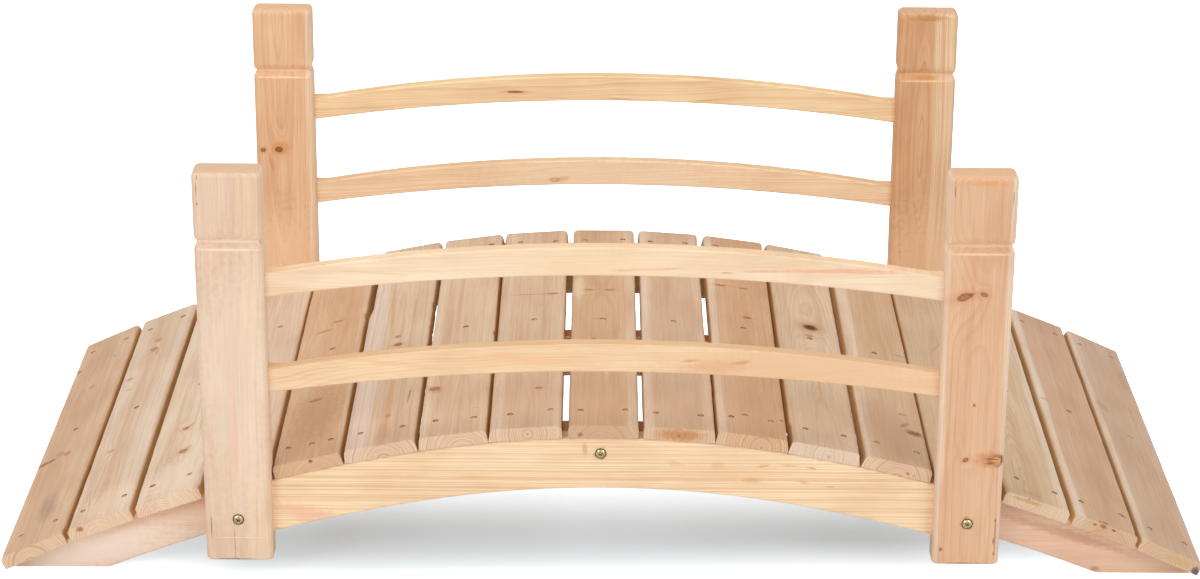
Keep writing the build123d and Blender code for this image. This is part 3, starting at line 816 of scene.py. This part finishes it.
# How each board looks: its colours, where its growth lines centre, and its knots and marks. The
# first number of a place is along the board, towards the back rail, and the second across it, to the right.
board_looks = {
    1: dict(
        early=(223, 187, 153), heart=(215, 174, 138), heart_radius=34, pith=(-12, 14), lean=0.01,
        knots=[(234, -38, 4, 4, 0, 0.9), (151, -2, 3, 4, 20, 0.45), (-68, -1, 4, 4, 0, 0.5)],
        marks_and_shading=[
            (-74, -30, 6, 17, 14, (146, 92, 56), 0.9), (-60, -12, 10, 8, 10, (188, 134, 92), 0.6),
            (-232, 3, 50, 16, 4, (150, 130, 112), 0.5), (-180, 8, 50, 10, -8, (196, 152, 118), 0.4),
            (242, 17, 2, 2, 0, (90, 62, 46), 0.8),
        ],
    ),
    2: dict(
        early=(233, 208, 181), heart=(221, 187, 157), heart_radius=30, pith=(-6, 16), lean=0.012,
        sap=[(24, 1, 0.5)],
        knots=[
            (205, -6, 6, 5, 30, 0.55), (235, -4, 4, 4, 0, 0.4), (119, -28, 3, 4, 0, 0.5),
            (80, -24, 2, 3, 0, 0.4), (-122, -17, 4, 4, 0, 0.35),
        ],
        end_marks=[(-26, -4, 6, 4, (150, 96, 60), 0.8)],
        marks_and_shading=[
            (-290, 4, 60, 36, 0, (242, 212, 182), 0.5), (215, -1, 12, 3, 8, (238, 214, 168), 0.6),
            (190, 1, 12, 2, -10, (136, 104, 78), 0.4), (-270, -22, 28, 1.6, 6, (206, 150, 96), 0.6),
            (-262, -10, 22, 1.4, -8, (206, 150, 96), 0.6),
        ],
    ),
    3: dict(
        early=(238, 214, 186), heart=(228, 197, 169), heart_radius=28, pith=(-10, 20), lean=0.014,
        knots=[(-133, -2, 4, 3.8, 25, 0.75), (-206, 4, 5, 5, 20, 0.7)],
        marks_and_shading=[
            (-285, 0, 70, 40, 0, (246, 222, 196), 0.55), (-128, 4, 10, 3, -35, (196, 134, 92), 0.6),
            (-200, 10, 10, 3, -35, (196, 134, 92), 0.5), (-120, 18, 80, 3, 4, (206, 162, 126), 0.4),
        ],
    ),
    4: dict(
        early=(235, 206, 179), heart=(226, 195, 167), heart_radius=26, pith=(8, 22), lean=0.02,
    ),
    5: dict(
        early=(223, 182, 144), heart=(217, 172, 133), heart_radius=40, pith=(4, 24), lean=0.006,
        sap=[(32, 1, 0.35)], end_tint=(224, 184, 148),
        knots=[(103, 2, 1.8, 6, 8, 0.7), (77, -15, 2.2, 8, 14, 0.55), (-155, -6, 3.5, 8, 16, 0.6)],
        end_marks=[(3, -5, 3.5, 2.8, (170, 84, 44), 0.9), (3, -5, 1.2, 1, (110, 50, 28), 0.9)],
        marks_and_shading=[(-200, 0, 110, 36, 0, (186, 138, 98), 0.55), (-285, -29, 3, 2.5, 0, (90, 66, 44), 0.8)],
    ),
    6: dict(
        early=(228, 199, 167), heart=(216, 176, 138), heart_radius=18, pith=(0, 12), lean=0.004,
        sap=[(-17, -1, 0.85), (36, 1, 0.3)], sap_colour=(232, 210, 192),
        knots=[(-22, 2, 4, 4.5, 0, 0.95), (-250, 4, 4, 3, 0, 0.35)],
        marks_and_shading=[
            (100, -12, 100, 4, 2, (204, 158, 118), 0.7), (-195, 27, 28, 1.8, -3, (140, 102, 76), 0.7),
            (-220, 2, 90, 5, 0, (206, 162, 118), 0.7), (-300, 2, 30, 10, 0, (196, 150, 112), 0.5),
            (-150, 18, 120, 3, -2, (212, 176, 142), 0.6), (100, 18, 60, 1.5, 0, (170, 128, 96), 0.4),
        ],
    ),
    7: dict(
        early=(233, 202, 169), heart=(222, 186, 151), heart_radius=30, pith=(6, 20), lean=0.012,
        sap=[(-32, -1, 0.5)],
        knots=[(-189, -30, 5, 6, 0, 0.75)],
        marks_and_shading=[(-196, -26, 10, 9, 0, (190, 134, 92), 0.5), (-262, 22, 1.2, 6, 0, (150, 112, 84), 0.4)],
    ),
    8: dict(
        early=(230, 198, 166), heart=(222, 187, 154), heart_radius=30, pith=(-1, 0), lean=0.001, waver=4,
        end_lines=1, sap=[(-30, -1, 0.4)],
        knots=[(97, 22, 2.2, 5.5, 0, 0.7), (-216, 10, 2.5, 4, 0, 0.6)],
        marks_and_shading=[(98, -6, 1.8, 34, -2, (170, 120, 78), 0.6), (60, 8, 6, 2, 0, (184, 140, 104), 0.4)],
    ),
    9: dict(
        early=(222, 184, 145), heart=(216, 174, 135), heart_radius=34, pith=(-2, 16), lean=0.002, waver=6,
        end_lines=1, sap=[(28, 1, 0.35)], end_tint=(210, 174, 142),
        knots=[(108, -19, 2, 5, 0, 0.6), (108, 8, 2.2, 6, 0, 0.65), (-61, -12, 1.4, 1.4, 0, 1)],
        end_marks=[(-27, 3, 4, 3, (140, 96, 62), 0.7), (0, -2, 34, 4, (206, 172, 134), 0.4)],
        marks_and_shading=[
            (6, -4, 1.4, 12, 0, (158, 114, 82), 0.6), (115, -32, 45, 9, 0, (232, 204, 170), 0.8),
            (-160, 4, 40, 3, 0, (224, 192, 152), 0.5), (50, 30, 100, 4, 0, (216, 158, 120), 0.5),
        ],
    ),
    10: dict(
        early=(228, 194, 161), heart=(216, 179, 147), heart_radius=30, pith=(1, 1), lean=0.001, waver=4,
        end_lines=1, sap=[(-30, -1, 0.8)], end_tint=(228, 192, 160), sap_colour=(238, 214, 190),
        end_marks=[(2, 0, 34, 8.5, (192, 124, 66), 0.7), (1, 1, 2, 1.6, (160, 104, 62), 0.8)],
    ),
    11: dict(
        early=(222, 180, 142), heart=(212, 166, 126), heart_radius=30, pith=(12, 6), lean=0.003, waver=6,
        end_lines=1.2, sap=[(-29, -1, 0.9)], sap_colour=(234, 208, 182), end_tint=(228, 190, 152),
        knots=[
            (150, -22, 2.2, 6, 0, 0.75), (149, 9, 2.2, 5, 0, 0.7), (45, 9, 3, 5, 0, 0.85),
            (-278, 37, 1.6, 2, 0, 1),
        ],
        marks_and_shading=[(151, -4, 1.2, 20, 0, (176, 122, 84), 0.5), (-50, 0, 100, 10, 0, (208, 152, 112), 0.4)],
    ),
    12: dict(
        early=(227, 198, 167), late=(190, 156, 124), heart=(219, 191, 160), heart_radius=30, pith=(4, 22),
        lean=0.055, lines=0.4, end_tint=(238, 214, 190), end_lines=0.6, knot_colour=(66, 42, 14),
        halo_colour=(186, 146, 94),
        knots=[(47, 4, 8, 8.2, 0, 1.15), (18, 1, 4, 5, 0, 0.35)],
        marks_and_shading=[(-155, 4, 40, 3, 0, (204, 164, 104), 0.75), (50, 3, 16, 13, 0, (196, 158, 108), 0.5)],
    ),
    13: dict(
        early=(218, 184, 148), heart=(208, 169, 132), heart_radius=28, pith=(4, 18), lean=0.012,
        sap=[(-24, -1, 0.75)],
        knots=[(-182, 18, 2, 4, 0, 0.5)],
        end_marks=[(14, 3, 3, 2, (160, 110, 72), 0.8), (22, 4, 2, 1.5, (180, 130, 90), 0.7)],
        marks_and_shading=[
            (-240, 0, 80, 40, 0, (194, 156, 126), 0.45), (15, 32, 3, 8, -10, (158, 116, 84), 0.6),
            (-234, 28, 9, 15, -12, (116, 74, 42), 0.85), (-214, 18, 14, 4, -30, (150, 106, 70), 0.6),
            (-240, 10, 12, 14, -8, (196, 158, 126), 0.5),
        ],
    ),
    14: dict(
        early=(214, 186, 151), heart=(204, 172, 137), heart_radius=26, pith=(0, 20), lean=0.014,
        marks_and_shading=[(80, 0, 30, 2, -20, (190, 136, 96), 0.5), (-100, 0, 30, 12, 0, (198, 160, 128), 0.5)],
    ),
    15: dict(
        early=(221, 192, 156), late=(190, 152, 114), heart=(215, 184, 148), heart_radius=24, pith=(-14, 20),
        lean=0.075, lines=0.55, sap=[(28, 1, 0.8)], end_tint=(230, 202, 172), end_lines=0.5,
        end_marks=[(-14, -4, 24, 2.8, (194, 148, 92), 0.7)],
        marks_and_shading=[(-318, -10, 6, 20, 0, (196, 146, 88), 0.5)],
    ),
    16: dict(
        early=(211, 172, 141), heart=(199, 157, 125), heart_radius=32, pith=(6, 24), lean=0.01,
        end_tint=(222, 188, 154), sap=[(-28, -1, 0.85)],
        knots=[(-331, -8, 1.8, 2, 0, 0.9), (-330, -2, 2.2, 2.6, 0, 0.9), (-287, 29, 2.2, 3, 0, 0.6)],
        end_marks=[
            (-4, -5, 5, 3, (110, 66, 40), 0.9), (10, -5, 3, 2, (120, 76, 48), 0.8),
            (-14, -4, 3, 2, (130, 86, 54), 0.8),
        ],
        marks_and_shading=[(-250, 10, 20, 6, 10, (186, 148, 120), 0.5), (20, -30, 6, 8, 0, (190, 146, 110), 0.5)],
    ),
    17: dict(
        early=(212, 182, 156), heart=(202, 168, 139), heart_radius=34, pith=(-4, 20), lean=0.012,
        sap=[(-32, -1, 0.6)], end_tint=(222, 188, 154),
        end_marks=[(36, 3, 6, 7, (88, 80, 86), 0.9), (12, 0, 20, 6, (212, 160, 106), 0.5)],
        marks_and_shading=[
            (-347, 36, 6, 5, 0, (96, 88, 94), 0.8), (80, -26, 20, 10, 20, (172, 140, 112), 0.5),
            (220, 30, 50, 10, 0, (178, 148, 122), 0.5), (-150, 28, 80, 6, 0, (184, 150, 122), 0.4),
        ],
    ),
}

# What the boards share unless their own look says otherwise. Boards 8 to 14 are browner at the near end.
# Their narrow sides take painted shade by side_shade, for the shade in the gaps between them.
common_look = dict(
    late=(194, 150, 114), ring_width=3, lines=0.30, drift_colour=(208, 166, 132), drift=0.40,
    streak_colour=(196, 150, 114), streaks=0.35, side_shade=0.8, side_shade_colour=(228, 194, 118),
    end_tint=(236, 204, 172), end_lines=0.9,
)
browner_boards = range(8, 15)
browner_end = (-250, 0, 100, 60, 0, (196, 158, 122), 0.32)
# The pits' walls are dark brown: wood crushed by the nails, and painted shade for the shade inside the pits.
crushed_wood = planed_softwood(
    "crushed_wood", (0, 0, 0), axes_from((0, 1, 0), (1, 0, 0)), early=(156, 108, 70), late=(112, 72, 44),
    lines=0.5, drift_colour=(128, 84, 52), drift=0.6, streak_colour=(104, 66, 40), streaks=0.5)

random.seed(8)
nail_places = []
for number in range(1, board_count + 1):
    seat, tip = board_place(number)
    axes = axes_from((0, 1, 0), (math.cos(tip), 0, -math.sin(tip)))
    up = -(axes @ Vector((0, 0, 1)))
    middle = seat + up * board_thickness / 2
    carry = Matrix.Translation(middle) @ axes.to_4x4()
    left, right = (edge / 1000 for edge in board_edges[number])
    flares = [flare / 1000 for flare in board_flares.get(number, (0, 0))]
    nicks = [(side, *(length / 1000 for length in nick)) for side, *nick in board_nicks.get(number, [])]
    half_length = short_board_half_length if number in short_boards else board_half_length
    shape = board_mesh(number, left, right, flares, half_length, nicks)
    board = finish_mesh(f"board_{number:02d}", shape, carry)

    pits = bmesh.new()
    spots = [(along, across) for along, row in nail_rows for across in row] + extra_nails.get(number, [])
    tops = []
    for along, across in spots:
        along += random.uniform(-nail_scatter_along, nail_scatter_along)
        across += random.uniform(-nail_scatter_across, nail_scatter_across)
        top = Vector((along, across, -board_thickness / 2))
        tops.append(top)
        pit_depth = nail_pit_depth * random.uniform(shallowest_pit, 1.0)
        nail_places.append((carry @ (top + Vector((0, 0, pit_depth))), up))
        bmesh.ops.create_cone(
            pits, cap_ends=True, segments=20, radius1=nail_pit_radius, radius2=nail_pit_foot_radius,
            depth=2 * pit_depth, matrix=Matrix.Translation(top))
    cut_out(board, finish_mesh("pits", pits, carry))

    look = common_look | board_looks[number]
    if number in browner_boards:
        look["marks_and_shading"] = [browner_end] + look.get("marks_and_shading", [])
    board.data.materials.clear()
    board.data.materials.append(planed_softwood(board.name, middle, axes, seed=41.0 + number, **look))
    board.data.materials.append(crushed_wood)
    for face in board.data.polygons:
        centre = carry.inverted() @ face.center
        sunk = centre.z > pit_wall_below_top - board_thickness / 2
        by_nail = min((centre - top).length for top in tops) < nail_pit_radius + pit_wall_reach
        face.material_index = int(sunk and by_nail)
    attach(board, "root")
    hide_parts(f"deck_board_{number:02d}")


# Small flat-headed nails hold the boards: two at each end and one in the middle, their heads sunk just
# below the wood. The heads are thinly plated steel and look yellowish.
def turned(name, profile, segments):
    """A round solid from (radius, height) in millimetres, from its top middle down to its bottom middle."""
    shape = bmesh.new()
    profile = [(radius / 1000, height / 1000) for radius, height in profile]
    top = shape.verts.new((0, 0, profile[0][1]))
    turns = [math.tau * step / segments for step in range(segments)]
    rings = [
        [shape.verts.new((radius * math.cos(turn), radius * math.sin(turn), height)) for turn in turns]
        for radius, height in profile[1:-1]
    ]
    bottom = shape.verts.new((0, 0, profile[-1][1]))
    for step in range(segments):
        following = (step + 1) % segments
        shape.faces.new((top, rings[0][step], rings[0][following]))
        for upper, lower in zip(rings, rings[1:]):
            shape.faces.new((upper[step], lower[step], lower[following], upper[following]))
        shape.faces.new((rings[-1][step], bottom, rings[-1][following]))
    bmesh.ops.recalc_face_normals(shape, faces=shape.faces)
    return finish_mesh(name, shape, Matrix(), 30)


def make_heads_tree():
    """Set one head on every point, facing the way the point says and turned about by chance."""
    tree = bpy.data.node_groups.new("set_heads", "GeometryNodeTree")
    tree.interface.new_socket("Geometry", in_out="OUTPUT", socket_type="NodeSocketGeometry")
    tree.interface.new_socket("Geometry", in_out="INPUT", socket_type="NodeSocketGeometry")
    sockets = {name: tree.interface.new_socket(name, in_out="INPUT", socket_type=kind).identifier
               for name, kind in (("Head", "NodeSocketObject"), ("Size", "NodeSocketFloat"),
                                  ("Most Turn", "NodeSocketFloat"), ("Seed", "NodeSocketInt"),
                                  ("Metal", "NodeSocketMaterial"))}
    given = tree.nodes.new("NodeGroupInput").outputs
    facing = put(tree, "GeometryNodeInputNamedAttribute", {"Name": "facing"}, data_type="FLOAT_VECTOR")
    upright = put(tree, "FunctionNodeAlignRotationToVector", {"Vector": facing.outputs[0]}, axis="Z")
    # Input 3 and output 1 are the random node's highest number and its result.
    chance = put(tree, "FunctionNodeRandomValue", {3: given["Most Turn"], "Seed": given["Seed"]},
                 data_type="FLOAT")
    turn = put(tree, "ShaderNodeCombineXYZ", {"Z": chance.outputs[1]})
    turn = put(tree, "FunctionNodeEulerToRotation", {0: turn.outputs[0]})
    turned_about = put(tree, "FunctionNodeRotateRotation", {0: upright.outputs[0], 1: turn.outputs[0]},
                       rotation_space="LOCAL")
    head = put(tree, "GeometryNodeObjectInfo", {"Object": given["Head"]})
    size = put(tree, "ShaderNodeCombineXYZ", {axis: given["Size"] for axis in "XYZ"})
    heads = put(tree, "GeometryNodeInstanceOnPoints", {"Points": given["Geometry"],
                "Instance": head.outputs["Geometry"], "Rotation": turned_about.outputs[0],
                "Scale": size.outputs[0]})
    real = put(tree, "GeometryNodeRealizeInstances", {0: heads.outputs[0]})
    coated = put(tree, "GeometryNodeSetMaterial", {"Geometry": real.outputs[0], "Material": given["Metal"]})
    put(tree, "NodeGroupOutput", {"Geometry": coated.outputs[0]})
    return tree, sockets


heads_tree, heads_sockets = make_heads_tree()


def set_heads(name, places, head, metal, seed):
    """One mesh of all the heads at the places given, each with the way it faces."""
    points = bpy.data.meshes.new(name)
    points.from_pydata([place for place, facing in places], [], [])
    facings = points.attributes.new("facing", "FLOAT_VECTOR", "POINT")
    for item, (place, facing) in zip(facings.data, places):
        item.vector = facing
    piece = bpy.data.objects.new(name, points)
    bpy.context.scene.collection.objects.link(piece)
    setter = piece.modifiers.new("heads", "NODES")
    setter.node_group = heads_tree
    choices = {"Head": head, "Size": 1.0, "Most Turn": math.tau, "Seed": seed, "Metal": metal}
    for key, value in choices.items():
        setter[heads_sockets[key]] = value
    settle(piece)
    bpy.data.objects.remove(head)
    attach(piece, "root")


def plated_steel(name, colour, other_colour, roughness):
    """Thin plating over steel, a little uneven in colour and polish, with brown grime and painted shade in
    its recesses and round its rim.
    """
    mottle_turns = 420.0
    grime_and_shade_colour = (74, 52, 28)
    metal = bpy.data.materials.new(name)
    tree = empty_tree(metal)
    where = put(tree, "ShaderNodeTexCoord").outputs["Object"]
    mottle = put(tree, "ShaderNodeTexNoise", {"Vector": where, "Scale": mottle_turns, "Detail": 2.0})
    tone = ease(tree, mottle.outputs[0], 0.35, 0.65)
    polish = sum_up(tree, "MULTIPLY_ADD", tone, 0.14, roughness)
    grime = put(tree, "ShaderNodeAttribute", attribute_name="grime").outputs["Fac"]
    dirty = blend(tree, grime, blend(tree, tone, colour, other_colour), shade(*grime_and_shade_colour))
    skin = put(tree, "ShaderNodeBsdfPrincipled", {"Base Color": dirty, "Roughness": polish, "Metallic": 1.0})
    put(tree, "ShaderNodeOutputMaterial", {"Surface": skin.outputs[0]})
    return metal


nail_head = turned("nail_head", [(0, 0.9), (1.5, 0.86), (2.6, 0.7), (3.1, 0.3), (3.1, -0.2), (0, -0.2)], 18)
nail_steel = plated_steel("nail_steel", (0.60, 0.48, 0.28, 1), (0.28, 0.21, 0.13, 1), 0.30)
set_heads("board_nails", nail_places, nail_head, nail_steel, 5)

# One pan-head screw with a cross recess holds each post near its foot, and one the middle of each side
# board. They are yellow zinc-plated steel, driven home so that the head lies on the wood.
post_screw_height = 0.082
side_board_screw_x = -0.003
side_board_screw_height = 0.163
recess_foot_radius = 0.0009
recess_mouth_radius = 0.0022
recess_depth = 0.0024
recess_middle_height = 0.0016
recess_arm_stretch = (2.1, 0.56, 1, 1)
recess_reach = 0.0034
recess_slope = 0.93
rim_start = 0.0056
rim_grime_and_shade = 0.9

screw_head = turned("screw_head", [(0, 2.2), (2.0, 2.15), (3.4, 1.9), (4.5, 1.4), (5.1, 0.8), (5.5, 0.6),
                                   (6.4, 0.5), (6.7, 0.2), (6.7, -0.2), (0, -0.2)], 40)
for arm_turn in (0, 90):
    arm = bmesh.new()
    bmesh.ops.create_cone(
        arm, cap_ends=True, segments=4, radius1=recess_foot_radius, radius2=recess_mouth_radius,
        depth=recess_depth, matrix=Matrix.Rotation(math.radians(45), 4, "Z"))
    arm_shape = (Matrix.Translation((0, 0, recess_middle_height))
                 @ Matrix.Rotation(math.radians(arm_turn), 4, "Z") @ Matrix.Diagonal(recess_arm_stretch))
    cut_out(screw_head, finish_mesh("arm", arm, arm_shape))
# The cross recess and the rim are darkened: grime, and painted shade for the shade in the recess and round
# the rim.
grime = screw_head.data.attributes.new("grime", "FLOAT", "FACE")
for face in screw_head.data.polygons:
    from_middle = math.hypot(face.center.x, face.center.y)
    in_recess = from_middle < recess_reach and face.normal.z < recess_slope
    at_rim = from_middle > rim_start or face.center.z < 0
    grime.data[face.index].value = 1.0 if in_recess else rim_grime_and_shade if at_rim else 0.0

screw_places = []
for side, side_name in ((-1, "front"), (1, "back")):
    for end_name in ("left", "right"):
        post_low, post_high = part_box(f"post_{side_name}_{end_name}")
        post_face = post_low[1] if side < 0 else post_high[1]
        post_middle = post_low[0] / 2 + post_high[0] / 2
        screw_places.append(((post_middle, post_face, post_screw_height), (0, side, 0)))
    board_low, board_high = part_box(f"side_board_{side_name}")
    board_face = board_low[1] if side < 0 else board_high[1]
    screw_places.append(((side_board_screw_x, board_face, side_board_screw_height), (0, side, 0)))
screw_zinc = plated_steel("screw_zinc", (0.66, 0.53, 0.30, 1), (0.40, 0.29, 0.14, 1), 0.20)
set_heads("screws", screw_places, screw_head, screw_zinc, 3)
